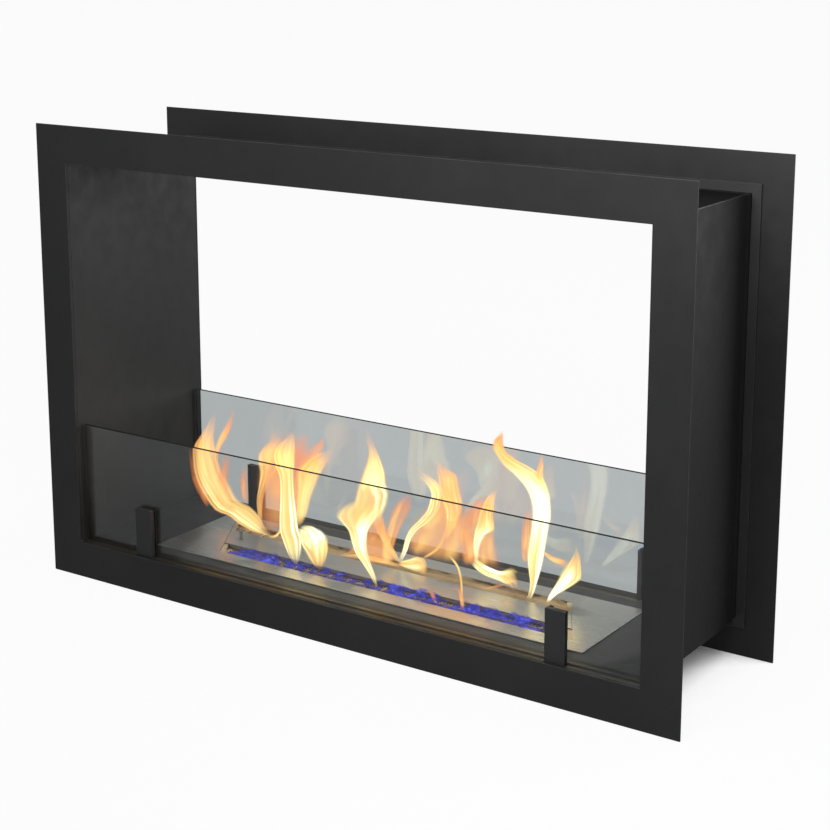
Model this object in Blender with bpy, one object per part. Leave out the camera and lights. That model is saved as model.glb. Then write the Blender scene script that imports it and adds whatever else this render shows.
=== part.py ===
# Double-sided built-in bioethanol fireplace, modelled as separate sheet-metal, glass and burner pieces.
# Metres, +Z up, origin at the bottom centre. Front face towards -Y, long side along X.

import bmesh
import bpy

# Whole unit
unit_width = 1.000
unit_height = 0.650
unit_depth = 0.270
side_border = 0.0535
end_border = 0.0525
frame_sheet = 0.002
seat_gap = 0.0003
cut_overrun = 0.002

# Front return, liner and casing
return_depth = 0.0045
return_sheet = 0.0012
liner_sheet = 0.0012
casing_sheet = 0.0012
casing_rear_setback = 0.020
collar_width = 0.0125
collar_sheet = 0.003

# Sills and panes
sill_depth = 0.0222
pane_sheet = 0.005
pane_setback = 0.0135
pane_side_gap = 0.003
pane_height = 0.1707

# Clips that hold the panes
clip_width = 0.028
clip_height = 0.068
clip_sheet = 0.0012
clip_setback = 0.006
clip_side_inset = 0.103
tongue_width = 0.006
notch_clearance = 0.0003

# Burner top
plate_end_margin = 0.1025
plate_depth = 0.166
plate_sheet = 0.0015
mouth_end_margin = 0.0605
mouth_lean_share = 0.577
slot_width = 0.031
cover_width = 0.048
cover_end_gap = 0.0005
cover_sheet = 0.0015
cover_fold_drop = 0.0055
cover_fold_setback = 0.010
peg_radius = 0.0026
peg_height = 0.013
peg_inset = 0.025
peg_edge = 0.0005
peg_edge_steps = 2
peg_sides = 24
peg_sharp_angle = 0.6
peg_edge_round_share = 0.5

# Fuel tank under the plate
tank_depth = 0.046
tank_sheet = 0.0012
tank_end_margin = 0.016
tank_side_margin = 0.010
tank_clearance = 0.001
support_length = 0.014
support_sheet = 0.0015
trench_width = 0.024
grid_drop = 0.007
grid_sheet = 0.001
grid_rim = 0.014
grid_window_length = 0.024
grid_bar = 0.006

# Places worked out from the sizes above
half_width = unit_width / 2
half_depth = unit_depth / 2
window_half = half_width - side_border
window_low = end_border
window_high = unit_height - end_border
liner_half = window_half + liner_sheet
liner_low = window_low - liner_sheet
liner_high = window_high + liner_sheet
casing_inner_half = liner_half + seat_gap
casing_half = casing_inner_half + casing_sheet
casing_low = liner_low - seat_gap - casing_sheet
casing_high = liner_high + seat_gap + casing_sheet
frame_back = half_depth - frame_sheet
liner_front = half_depth - return_depth - seat_gap
liner_rear = frame_back - seat_gap
collar_front = frame_back - seat_gap - collar_sheet
casing_front = collar_front - seat_gap
casing_rear = half_depth - casing_rear_setback
floor_half = window_half - seat_gap
sill_back = liner_front - sill_depth
floor_edge = sill_back - seat_gap
pane_outer = half_depth - pane_setback
pane_inner = pane_outer - pane_sheet
pane_low = window_low + seat_gap
pane_half = window_half - pane_side_gap
clip_outer = half_depth - clip_setback
clip_back = pane_outer + seat_gap
tongue_back = pane_inner - seat_gap - clip_sheet
clip_centre = window_half - clip_side_inset - clip_width / 2
clip_top = window_low + clip_height
plate_low = window_low + seat_gap
plate_high = plate_low + plate_sheet
plate_half = window_half - plate_end_margin
mouth_end = plate_half - mouth_end_margin
mouth_half = slot_width + cover_width / 2
cover_end = mouth_end - cover_end_gap
tank_end = mouth_end + mouth_lean_share * mouth_half + tank_end_margin
tank_half = mouth_half + tank_side_margin
tank_high = plate_low - seat_gap
tank_low = tank_high - tank_depth
core_outer = tank_half - tank_sheet - seat_gap
core_end = tank_end - tank_sheet - seat_gap
grid_high = plate_high - grid_drop
grid_low = grid_high - grid_sheet

# Paint, metal, glass and fibre colours
coat_black = (0.022, 0.022, 0.023)
sill_black = (0.008, 0.008, 0.009)
steel_grey = (0.52, 0.51, 0.49)
steel_dark = (0.30, 0.29, 0.28)
pane_green = (0.80, 0.88, 0.86)
fibre_white = (0.74, 0.72, 0.68)


def clear_scene():
    for thing in list(bpy.data.objects):
        bpy.data.objects.remove(thing, do_unlink=True)


def material(name, colour, roughness, metallic=0.0, alpha=1.0, transmission=0.0):
    paint = bpy.data.materials.new(name)
    paint.use_nodes = True
    shader = paint.node_tree.nodes["Principled BSDF"]
    shader.inputs["Base Color"].default_value = (*colour, 1.0)
    shader.inputs["Roughness"].default_value = roughness
    shader.inputs["Metallic"].default_value = metallic
    shader.inputs["Alpha"].default_value = alpha
    shader.inputs["Transmission Weight"].default_value = transmission
    return paint


def coat(name):
    return material(name, coat_black, 0.42)


def gloss(name):
    return material(name, sill_black, 0.10)


def steel(name):
    return material(name, steel_grey, 0.28, metallic=1.0)


def dull_steel(name):
    return material(name, steel_dark, 0.45, metallic=1.0)


def clear_glass(name):
    return material(name, pane_green, 0.02, alpha=0.35, transmission=0.9)


def fibre(name):
    return material(name, fibre_white, 0.95)


def add_object(name, mesh, paint, parent=None, origin=(0, 0, 0)):
    thing = bpy.data.objects.new(name, mesh)
    bpy.context.scene.collection.objects.link(thing)
    if paint is not None:
        mesh.materials.append(paint(name + "_finish"))
    thing.parent = parent
    thing.location = origin
    return thing


def add_empty(name, origin=(0, 0, 0), parent=None):
    thing = bpy.data.objects.new(name, None)
    bpy.context.scene.collection.objects.link(thing)
    thing.parent = parent
    thing.location = origin
    return thing


def finish_mesh(name, work):
    bmesh.ops.recalc_face_normals(work, faces=work.faces)
    mesh = bpy.data.meshes.new(name)
    work.to_mesh(mesh)
    work.free()
    return mesh


def span(side, near, far):
    # Two places on one side of the middle, lower one first.
    return sorted((side * near, side * far))


def rectangle(normal_axis, low, high, place):
    # Four corners of a rectangle square to an axis, in order round it.
    corners = []
    for across, along in ((low[0], low[1]), (high[0], low[1]), (high[0], high[1]), (low[0], high[1])):
        point = [across, along]
        point.insert(normal_axis, place)
        corners.append(tuple(point))
    return corners


def skin(work, loops, closed):
    # Skins a row of rectangles. A closed row makes a ring, an open one is capped at both ends.
    rows = [[work.verts.new(point) for point in loop] for loop in loops]
    pairs = list(zip(rows, rows[1:]))
    if closed:
        pairs.append((rows[-1], rows[0]))
    else:
        work.faces.new(rows[0])
        work.faces.new(rows[-1])
    for first, second in pairs:
        for index in range(len(first)):
            before = index - 1
            work.faces.new((first[before], first[index], second[index], second[before]))


def loop_mesh(name, loops, closed):
    work = bmesh.new()
    skin(work, loops, closed)
    return finish_mesh(name, work)


def box_loops(low, high):
    return [rectangle(2, low[:2], high[:2], low[2]), rectangle(2, low[:2], high[:2], high[2])]


def box_mesh(name, low, high):
    return loop_mesh(name, box_loops(low, high), False)


def box(name, low, high, paint, parent=None):
    return add_object(name, box_mesh(name, low, high), paint, parent)


def leaning(low, high, place):
    # Four corners on a level plane, with the ends leaning as those of the burner's mouth do.
    return [(x - mouth_lean_share * y, y, z) for x, y, z in rectangle(2, low, high, place)]


def leaning_box(name, low, high, paint, parent=None):
    loops = [leaning(low[:2], high[:2], low[2]), leaning(low[:2], high[:2], high[2])]
    return add_object(name, loop_mesh(name, loops, False), paint, parent)


def ring(name, outline, paint, parent=None):
    # A frame standing square to Y. Each outline point is (half width, low, high, depth).
    loops = [rectangle(1, (-half, low), (half, high), depth) for half, low, high, depth in outline]
    return add_object(name, loop_mesh(name, loops, True), paint, parent)


def plate_with_cut(name, low, high, cut_low, cut_high, paint, parent=None):
    # A level plate with one rectangular hole.
    loops = [
        rectangle(2, low[:2], high[:2], low[2]),
        rectangle(2, low[:2], high[:2], high[2]),
        rectangle(2, cut_low, cut_high, high[2]),
        rectangle(2, cut_low, cut_high, low[2]),
    ]
    return add_object(name, loop_mesh(name, loops, True), paint, parent)


def open_box_mesh(name, low, high, wall):
    # A box without its top side.
    inner_low = (low[0] + wall, low[1] + wall)
    inner_high = (high[0] - wall, high[1] - wall)
    loops = [
        rectangle(2, low[:2], high[:2], low[2]),
        rectangle(2, low[:2], high[:2], high[2]),
        rectangle(2, inner_low, inner_high, high[2]),
        rectangle(2, inner_low, inner_high, low[2] + wall),
    ]
    return loop_mesh(name, loops, False)


def boolean(target, other, operation):
    step = target.modifiers.new(operation.lower(), "BOOLEAN")
    step.operation = operation
    step.solver = "EXACT"
    step.object = other
    other.hide_render = True
    other.display_type = "WIRE"


def grown(outline, amount):
    half, low, high = outline
    return half + amount, low - amount, high + amount


def frames(rear_trim):
    # Front frame with its short return round the window, and the plain rear frame.
    outside = (half_width, 0, unit_height)
    window = (window_half, window_low, window_high)
    bend = grown(window, return_sheet)
    ring("front_frame", (
        (*outside, -half_depth),
        (*outside, -frame_back),
        (*bend, -frame_back),
        (*bend, return_depth - half_depth),
        (*window, return_depth - half_depth),
        (*window, -half_depth),
    ), coat)
    ring("rear_frame", (
        (*outside, half_depth),
        (*outside, frame_back),
        (*window, frame_back),
        (*window, half_depth),
    ), coat, rear_trim)


def collar(name, facing, parent=None):
    # Flat ring round the liner that stiffens a frame.
    bore = grown((liner_half, liner_low, liner_high), seat_gap)
    rim = grown(bore, collar_width)
    near, far = span(facing, collar_front, collar_front + collar_sheet)
    ring(name, ((*rim, near), (*rim, far), (*bore, far), (*bore, near)), coat, parent)


def casing():
    # Outer box behind the front collar: two sides of full height with the top and the bottom between them.
    for name, side in (("casing_left", -1), ("casing_right", 1)):
        faces = span(side, casing_inner_half, casing_half)
        box(name, (faces[0], -casing_front, casing_low), (faces[1], casing_rear, casing_high), coat)
    inner = casing_inner_half - seat_gap
    box("casing_top", (-inner, -casing_front, casing_high - casing_sheet),
        (inner, casing_rear, casing_high), coat)
    cut_low, cut_high = tank_cut()
    plate_with_cut("casing_bottom", (-inner, -casing_front, casing_low),
                   (inner, casing_rear, casing_low + casing_sheet), cut_low, cut_high, coat)


def tank_cut():
    # Hole that the tank hangs through, in both bottoms.
    half_x = tank_end + tank_clearance
    half_y = tank_half + tank_clearance
    return (-half_x, -half_y), (half_x, half_y)


def liner():
    # Inner box: sides and top run the whole depth, the floor lies between the two sills.
    for name, side in (("liner_left", -1), ("liner_right", 1)):
        faces = span(side, window_half, liner_half)
        box(name, (faces[0], -liner_front, liner_low), (faces[1], liner_rear, liner_high), coat)
    box("liner_top", (-floor_half, -liner_front, window_high), (floor_half, liner_rear, liner_high), coat)
    cut_low, cut_high = tank_cut()
    plate_with_cut("floor_plate", (-floor_half, -floor_edge, liner_low), (floor_half, floor_edge, window_low),
                   cut_low, cut_high, coat)


def sill(name, facing):
    # Dark strip that a pane stands on, cut out for the feet of its two clips.
    outer = liner_front if facing < 0 else liner_rear
    strip_y = span(facing, sill_back, outer)
    strip = box(name, (-floor_half, strip_y[0], liner_low), (floor_half, strip_y[1], window_low), gloss)
    notch_y = span(facing, tongue_back - notch_clearance, outer + cut_overrun)
    notch_half = clip_width / 2 + notch_clearance
    for end, side in (("_left", -1), ("_right", 1)):
        centre = side * clip_centre
        low = (centre - notch_half, notch_y[0], liner_low - cut_overrun)
        high = (centre + notch_half, notch_y[1], window_low + cut_overrun)
        boolean(strip, box(name + "_notch" + end, low, high, None), "DIFFERENCE")


def clip(name, side, facing):
    # Pressed cover in front of the pane, a foot under it and a narrow tongue behind it.
    low_x = side * clip_centre - clip_width / 2
    high_x = low_x + clip_width
    leaf_back = clip_outer - clip_sheet
    cover_y = span(facing, clip_back, clip_outer)
    cover = box(name, (low_x, cover_y[0], liner_low), (high_x, cover_y[1], clip_top), coat)
    hollow_y = span(facing, clip_back - cut_overrun, leaf_back)
    hollow = box(name + "_hollow", (low_x + clip_sheet, hollow_y[0], window_low),
                 (high_x - clip_sheet, hollow_y[1], clip_top - clip_sheet), None)
    boolean(cover, hollow, "DIFFERENCE")
    foot_y = span(facing, tongue_back, leaf_back)
    foot = box(name + "_foot", (low_x, foot_y[0], liner_low), (high_x, foot_y[1], window_low), None)
    boolean(cover, foot, "UNION")
    tongue_inner = clip_centre - clip_width / 2
    tongue_x = span(side, tongue_inner, tongue_inner + tongue_width)
    tongue_y = span(facing, tongue_back, tongue_back + clip_sheet)
    tongue = box(name + "_tongue", (tongue_x[0], tongue_y[0], liner_low),
                 (tongue_x[1], tongue_y[1], clip_top), None)
    boolean(cover, tongue, "UNION")


def pane(name, facing):
    faces = span(facing, pane_inner, pane_outer)
    origin = add_empty(name + "_lift", (0, (faces[0] + faces[1]) / 2, pane_low))
    sheet = box_mesh(name, (-pane_half, -pane_sheet / 2, 0), (pane_half, pane_sheet / 2, pane_height))
    add_object(name, sheet, clear_glass, origin)


def burner_plate(parent):
    # Tray top with one long mouth whose two ends lean alike.
    low = (-plate_half, -plate_depth / 2)
    high = (plate_half, plate_depth / 2)
    mouth_low = (-mouth_end, -mouth_half)
    mouth_high = (mouth_end, mouth_half)
    loops = [
        rectangle(2, low, high, plate_low),
        rectangle(2, low, high, plate_high),
        leaning(mouth_low, mouth_high, plate_high),
        leaning(mouth_low, mouth_high, plate_low),
    ]
    add_object("burner_plate", loop_mesh("burner_plate", loops, True), steel, parent)


def burner_tank(parent):
    mesh = open_box_mesh("burner_tank", (-tank_end, -tank_half, tank_low),
                         (tank_end, tank_half, tank_high), tank_sheet)
    add_object("burner_tank", mesh, dull_steel, parent)


def cover_supports(parent):
    # Cross bars in the tank, one along each leaning end of the mouth.
    high = plate_low - seat_gap
    for name, place in (("cover_support_left", -mouth_end), ("cover_support_right", mouth_end)):
        leaning_box(name, (place - support_length / 2, -core_outer, high - support_sheet),
                    (place + support_length / 2, core_outer, high), dull_steel, parent)


def cores(parent):
    # Two fibre blocks with a filling trench between them.
    low = tank_low + tank_sheet + seat_gap
    for name, facing in (("core_front", -1), ("core_rear", 1)):
        faces = span(facing, trench_width / 2, core_outer)
        box(name, (-core_end, faces[0], low), (core_end, faces[1], grid_low - seat_gap), fibre, parent)


def grid(name, facing, parent):
    # Perforated strip that holds a fibre block down, with one row of windows under its slot.
    faces = span(facing, trench_width / 2, core_outer)
    strip = box(name, (-core_end, faces[0], grid_low), (core_end, faces[1], grid_high), dull_steel, parent)
    pitch = grid_window_length + grid_bar
    count = int(((core_end - grid_rim) * 2 + grid_bar) / pitch)
    start = (grid_bar - count * pitch) / 2
    window_y = span(facing, trench_width / 2 + grid_rim, core_outer - grid_rim)
    windows = bmesh.new()
    for index in range(count):
        low_x = start + index * pitch
        low = (low_x, window_y[0], grid_low - cut_overrun)
        high = (low_x + grid_window_length, window_y[1], grid_high + cut_overrun)
        skin(windows, box_loops(low, high), False)
    cutter = add_object(name + "_windows", finish_mesh(name + "_windows", windows), None, parent)
    boolean(strip, cutter, "DIFFERENCE")


def cover_plate(parent):
    # Lift-off strip between the two slots, with both long edges folded down.
    half = cover_width / 2
    strip = leaning_box("cover_plate", (-cover_end, -half, plate_low), (cover_end, half, plate_high),
                        steel, parent)
    fold_end = cover_end - cover_fold_setback
    fold_low = plate_high - cover_fold_drop
    for label, facing in (("_front_fold", -1), ("_rear_fold", 1)):
        faces = span(facing, half - cover_sheet, half)
        fold = leaning_box("cover_plate" + label, (-fold_end, faces[0], fold_low),
                           (fold_end, faces[1], plate_high), None, parent)
        boolean(strip, fold, "UNION")


def cover_peg(parent):
    # Upright steel peg that the cover strip is lifted by.
    work = bmesh.new()
    low = plate_high + seat_gap
    bmesh.ops.create_cone(work, cap_ends=True, segments=peg_sides, radius1=peg_radius, radius2=peg_radius,
                          depth=peg_height)
    for vert in work.verts:
        vert.co.z += low + peg_height / 2
    rim = [edge for edge in work.edges if min(v.co.z for v in edge.verts) > low + peg_height / 2]
    bmesh.ops.bevel(work, geom=rim, offset=peg_edge, segments=peg_edge_steps, affect="EDGES",
                    profile=peg_edge_round_share)
    mesh = finish_mesh("cover_peg", work)
    mesh.shade_smooth()
    mesh.set_sharp_from_angle(angle=peg_sharp_angle)
    add_object("cover_peg", mesh, steel, parent, (peg_inset - mouth_end, 0, 0))


def build():
    clear_scene()
    rear_trim = add_empty("rear_trim_slide")
    burner = add_empty("burner_lift")
    cover = add_empty("cover_lift", parent=burner)
    frames(rear_trim)
    collar("front_collar", -1)
    collar("rear_collar", 1, rear_trim)
    casing()
    liner()
    for label, facing in (("front", -1), ("rear", 1)):
        sill(label + "_sill", facing)
        pane(label + "_glass", facing)
        for end, side in (("left", -1), ("right", 1)):
            clip("clip_" + label + "_" + end, side, facing)
    burner_plate(burner)
    burner_tank(burner)
    cover_supports(burner)
    cores(burner)
    grid("core_grid_front", -1, burner)
    grid("core_grid_rear", 1, burner)
    cover_plate(cover)
    cover_peg(cover)


build()
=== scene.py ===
"""Looks of the double-sided ethanol fireplace: coats, glass, steel, flames, floor, light and camera."""
import math
import random

import bpy
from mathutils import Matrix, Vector


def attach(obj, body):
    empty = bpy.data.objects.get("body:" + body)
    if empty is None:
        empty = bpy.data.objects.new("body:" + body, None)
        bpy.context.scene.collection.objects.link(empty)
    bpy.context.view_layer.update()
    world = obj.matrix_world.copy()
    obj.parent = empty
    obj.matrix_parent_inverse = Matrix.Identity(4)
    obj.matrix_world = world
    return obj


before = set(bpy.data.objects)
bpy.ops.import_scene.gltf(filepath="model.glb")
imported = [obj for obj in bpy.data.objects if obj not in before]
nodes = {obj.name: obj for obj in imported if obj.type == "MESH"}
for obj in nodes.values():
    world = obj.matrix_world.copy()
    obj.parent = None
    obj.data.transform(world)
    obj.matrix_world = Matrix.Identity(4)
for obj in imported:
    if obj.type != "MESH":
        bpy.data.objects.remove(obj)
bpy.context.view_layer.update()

# The camera: place in metres, turns in degrees, focal length and shift in pixels of the photograph
camera_place = (1.3091, -1.8727, 0.9219)
camera_turn = 34.100
camera_down = 12.008
picture_side = 830
focal_pixels = 1778.5
sensor_width = 36.0
principal_drop = 115
sight_end = 500.0

# The floor, and how far the camera sees it as pale ground. That fades where little open air is over it, which
# paints shade under and beside the object
floor_reach = 60.0
floor_drop = 0.0003
floor_paint = ((0.9, 0.9, 0.9), (0.94, 0.94, 0.94))
floor_lift = 0.94
under_reach = 0.3
under_samples = 8
closed_in = 0.08
wide_open = 0.4

# What the camera, glass and metal see of the ground and the air, and the soft light of the air
ground_to_camera = (1.0, 1.0, 1.0)
ground_in_glass = (0.515, 0.54, 0.55)
ground_in_metal = (0.2, 0.2, 0.2)
air_in_metal = (0.36, 0.36, 0.36)
air_colour = (0.97, 0.985, 1.0)
air_light = 0.4

# Nodes that are alike, and all those in the fire chamber, which the fire lights
clips = ("clip_front_left", "clip_front_right", "clip_rear_left", "clip_rear_right")
sills = ("front_sill", "rear_sill")
supports = ("cover_support_left", "cover_support_right")
grids = ("core_grid_front", "core_grid_rear")
cores = ("core_front", "core_rear")
inside_parts = ("floor_plate", *sills, "burner_plate", "cover_plate", "cover_peg", "burner_tank",
                *cores, *grids, *supports, *clips)

# Lamps: name, place, what it points at, size, all in metres, and power in watts
lamps = (
    ("key", (0.52, -0.95, 1.2), (0.5, 0.2, 1.1), (0.7, 0.5), 16.0),
    ("front", (-0.9, -4.5, 1.3), (0.0, 0.0, 0.3), (1.6, 1.2), 20.0),
    ("rear", (2.4, 2.8, 0.9), (0.0, 0.0, 0.3), (2.4, 1.6), 42.0),
)

# The fire's own light, straight down from under the top of the fire chamber, and the pool that it lights:
# half its width, the drop to it and the share of it that is soft rim
glow_place = (0.045, 0.065, 0.588)
glow_half_width = 0.38
glow_drop = 0.535
glow_rim = 0.08
glow_size = 0.006
glow_power = 20.0
glow_colour = (1.0, 0.97, 0.92)

# Edges of the sheets, in metres and degrees
weld_reach = 0.00001
sheet_bevel = 0.0004
glass_bevel = 0.0007
fibre_bevel = 0.001
bevel_segments = 2
sharp_angle = 40

# No tint, for the coats that are neither warm nor cold
neutral = (1.0, 1.0, 1.0)

# Middles of the two burner slots, in metres
slot_middle = {"front": -0.0395, "rear": 0.0395}

# What a fire's mesh tells its material: places along and across it, and its heat, cover and start
own_places = "flame"
own_tone = "burn"

# Places of a Mix node's colour sockets
mix_share, mix_first, mix_second, mix_result = 0, 6, 7, 2


# ---------------------------------------------------------------- node helpers
class Nodes:
    """A material's node tree with short calls for the nodes used here."""

    def __init__(self, name):
        self.material = bpy.data.materials.new(name)
        self.material.use_nodes = True
        self.tree = self.material.node_tree
        self.tree.nodes.clear()
        self.output = self.add("ShaderNodeOutputMaterial")

    def add(self, kind, **settings):
        node = self.tree.nodes.new(kind)
        for key, value in settings.items():
            setattr(node, key, value)
        return node

    def join(self, source, target):
        self.tree.links.new(source, target)

    def put(self, socket, value):
        if isinstance(value, bpy.types.NodeSocket):
            self.join(value, socket)
        else:
            socket.default_value = value

    def principled(self, **sockets):
        shader = self.add("ShaderNodeBsdfPrincipled")
        for key, value in sockets.items():
            self.put(shader.inputs[key.replace("_", " ")], value)
        self.join(shader.outputs["BSDF"], self.output.inputs["Surface"])

    def place(self, stretch=(1, 1, 1), shift=(0, 0, 0)):
        coord = self.add("ShaderNodeTexCoord")
        mapping = self.add("ShaderNodeMapping")
        mapping.inputs["Scale"].default_value = stretch
        mapping.inputs["Location"].default_value = shift
        self.join(coord.outputs["Object"], mapping.inputs["Vector"])
        return mapping.outputs["Vector"]

    def noise(self, vector, scale, detail=2.0, rough=0.5, warp=0.0):
        node = self.add("ShaderNodeTexNoise")
        self.join(vector, node.inputs["Vector"])
        node.inputs["Scale"].default_value = scale
        node.inputs["Detail"].default_value = detail
        node.inputs["Roughness"].default_value = rough
        node.inputs["Distortion"].default_value = warp
        return node.outputs["Fac"]

    def ramp(self, value, *stops):
        node = self.add("ShaderNodeValToRGB")
        self.put(node.inputs["Fac"], value)
        steps = node.color_ramp.elements
        while len(steps) < len(stops):
            steps.new(0.5)
        for step, (where, colour) in zip(steps, stops):
            step.position = where
            if isinstance(colour, (int, float)):
                colour = (colour, colour, colour)
            step.color = (*colour, 1.0)
        return node.outputs["Color"]

    def span(self, value, low, high, to_low, to_high, smooth=False):
        node = self.add("ShaderNodeMapRange")
        if smooth:
            node.interpolation_type = "SMOOTHSTEP"
        self.put(node.inputs["Value"], value)
        node.inputs["From Min"].default_value = low
        node.inputs["From Max"].default_value = high
        node.inputs["To Min"].default_value = to_low
        node.inputs["To Max"].default_value = to_high
        return node.outputs["Result"]

    def math(self, kind, first, second=None, third=None, clamp=False):
        node = self.add("ShaderNodeMath", operation=kind, use_clamp=clamp)
        for socket, value in zip(node.inputs, (first, second, third)):
            if value is not None:
                self.put(socket, value)
        return node.outputs["Value"]

    def mix(self, share, first, second):
        node = self.add("ShaderNodeMix", data_type="RGBA", blend_type="MIX")
        self.put(node.inputs[mix_share], share)
        self.put(node.inputs[mix_first], first)
        self.put(node.inputs[mix_second], (*second, 1.0))
        return node.outputs[mix_result]

    def bump(self, height, distance, strength, under=None):
        node = self.add("ShaderNodeBump")
        node.inputs["Strength"].default_value = strength
        node.inputs["Distance"].default_value = distance
        self.join(height, node.inputs["Height"])
        if under is not None:
            self.join(under, node.inputs["Normal"])
        return node.outputs["Normal"]

    def fire_place(self):
        """A fire's own coordinates: across, along and both."""
        both = self.add("ShaderNodeUVMap", uv_map=own_places).outputs["UV"]
        parts = self.add("ShaderNodeSeparateXYZ")
        self.join(both, parts.inputs["Vector"])
        return parts.outputs["X"], parts.outputs["Y"], both

    def burning(self, colour, power, alpha):
        """A surface that only glows, as dense as alpha says."""
        self.principled(Base_Color=(0.0, 0.0, 0.0, 1.0), Roughness=1.0, Specular_IOR_Level=0.0,
                        Emission_Color=colour, Emission_Strength=power, Alpha=alpha)


# ---------------------------------------------------------------- materials
def powder_coat(name, shade, tint=(1.0, 1.0, 1.03), rough=(0.42, 0.56), specular=0.32, peel_strength=0.5):
    """Satin black powder coat: fine orange peel, faint cloudiness, a little uneven gloss."""
    n = Nodes(name)
    place = n.place()
    cloud = n.noise(place, 5.0, 3.0)
    grain = n.noise(place, 900.0, 2.0)
    peel = n.noise(place, 260.0, 2.0, 0.55)
    dark = tuple(shade * 0.86 * t for t in tint)
    light = tuple(shade * 1.14 * t for t in tint)
    colour = n.ramp(cloud, (0.3, dark), (0.7, light))
    colour = n.mix(n.span(grain, 0.35, 0.65, 0.0, 0.22), colour, tuple(shade * 1.6 * t for t in tint))
    gloss = n.span(n.noise(place, 38.0, 3.0), 0.3, 0.7, *rough)
    coarse = n.bump(peel, 0.00004, peel_strength)
    n.principled(Base_Color=colour, Roughness=gloss, Specular_IOR_Level=specular,
                 Normal=n.bump(grain, 0.00002, 1.2 * peel_strength, coarse))
    return n.material


def edge_highlight(name, shade):
    """The coat over a bent or cut edge, lighter in mottled patches as a painted highlight along the edge."""
    n = Nodes(name)
    place = n.place()
    highlight_mottle = n.noise(place, 55.0, 4.0, 0.6)
    chip = n.noise(place, 420.0, 2.0)
    # Lighter than the coat beside it: painted highlight
    colour = n.ramp(highlight_mottle, (0.35, shade * 0.9), (0.62, shade * 2.2), (0.8, shade * 3.4))
    gloss = n.span(chip, 0.3, 0.7, 0.3, 0.42)
    n.principled(Base_Color=colour, Roughness=gloss, Specular_IOR_Level=0.5)
    return n.material


def gloss_enamel(name):
    """Gloss black enamel with faint drawn lines along its length."""
    n = Nodes(name)
    lines = n.noise(n.place((4.0, 900.0, 900.0)), 1.0, 2.0, 0.6)
    dust = n.noise(n.place(), 210.0, 3.0, 0.6)
    colour = n.ramp(lines, (0.3, (0.02, 0.016, 0.01)), (0.72, (0.034, 0.028, 0.018)))
    gloss = n.math("ADD", n.span(lines, 0.3, 0.7, 0.4, 0.46), n.span(dust, 0.5, 0.8, 0.0, 0.08))
    n.principled(Base_Color=colour, Roughness=gloss, Specular_IOR_Level=0.46,
                 Normal=n.bump(lines, 0.00001, 0.04))
    return n.material


def brushed_steel(name, shade, rough=(0.24, 0.4)):
    """Stainless sheet brushed along its length, with faint smudges."""
    n = Nodes(name)
    hair = n.noise(n.place((9.0, 1500.0, 1500.0)), 1.0, 3.0, 0.65)
    long_hair = n.noise(n.place((2.5, 420.0, 420.0)), 1.0, 2.0, 0.6)
    smudge = n.noise(n.place(), 14.0, 4.0, 0.6)
    grey = (shade, shade * 0.985, shade * 0.955)
    colour = n.ramp(hair, (0.25, tuple(0.94 * g for g in grey)), (0.75, tuple(1.05 * g for g in grey)))
    colour = n.mix(n.span(smudge, 0.45, 0.75, 0.0, 0.2), colour, tuple(0.88 * g for g in grey))
    gloss = n.math("ADD", n.span(long_hair, 0.3, 0.7, *rough), n.span(smudge, 0.5, 0.8, 0.0, 0.1))
    n.principled(Base_Color=colour, Metallic=0.8, Roughness=gloss, Anisotropic=0.35,
                 Normal=n.bump(hair, 0.00001, 0.25))
    return n.material


def heated_steel(name):
    """Dull steel with the faint straw, brown and grey patches that heat leaves."""
    n = Nodes(name)
    place = n.place()
    heat = n.noise(place, 16.0, 4.0, 0.6, 0.6)
    grain = n.noise(n.place((30.0, 900.0, 900.0)), 1.0, 2.0)
    colour = n.ramp(heat, (0.25, (0.47, 0.41, 0.31)), (0.46, (0.5, 0.4, 0.26)),
                    (0.6, (0.44, 0.35, 0.24)), (0.78, (0.38, 0.34, 0.31)))
    gloss = n.span(grain, 0.3, 0.7, 0.38, 0.55)
    n.principled(Base_Color=colour, Metallic=0.5, Roughness=gloss, Normal=n.bump(grain, 0.00004, 0.5))
    return n.material


def perforated_steel(name):
    """Heat-toned strip with rows of round holes over the fibre, the holes painted near black as painted
    shade.
    """
    n = Nodes(name)
    place = n.place((1.0, 1.0, 0.0))
    holes = n.add("ShaderNodeTexVoronoi", feature="F1")
    n.join(place, holes.inputs["Vector"])
    holes.inputs["Scale"].default_value = 190.0
    holes.inputs["Randomness"].default_value = 0.0
    inside = n.span(holes.outputs["Distance"], 0.27, 0.31, 1.0, 0.0)
    heat = n.noise(n.place(), 22.0, 4.0, 0.6, 0.5)
    steel = n.ramp(heat, (0.3, (0.6, 0.44, 0.25)), (0.52, (0.66, 0.46, 0.24)), (0.7, (0.45, 0.34, 0.24)))
    # Inside the holes the colour is near black: painted shade in the holes
    colour = n.mix(inside, steel, (0.02, 0.017, 0.014))
    n.principled(Base_Color=colour, Metallic=n.span(inside, 0.0, 1.0, 0.45, 0.0),
                 Roughness=n.span(heat, 0.3, 0.7, 0.4, 0.56),
                 Normal=n.bump(n.math("SUBTRACT", 1.0, inside), 0.0008, 0.6))
    return n.material


def fibre(name):
    """Ceramic fibre block: matted fibres, sooted in patches."""
    n = Nodes(name)
    place = n.place()
    mat = n.noise(n.place((90.0, 420.0, 420.0)), 1.0, 4.0, 0.7, 1.2)
    soot = n.noise(place, 26.0, 4.0, 0.6)
    colour = n.ramp(mat, (0.3, (0.2, 0.145, 0.08)), (0.7, (0.3, 0.22, 0.13)))
    colour = n.mix(n.span(soot, 0.45, 0.7, 0.0, 0.7), colour, (0.07, 0.05, 0.035))
    n.principled(Base_Color=colour, Roughness=n.span(mat, 0.3, 0.7, 0.85, 1.0),
                 Normal=n.bump(mat, 0.0006, 0.8))
    return n.material


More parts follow.
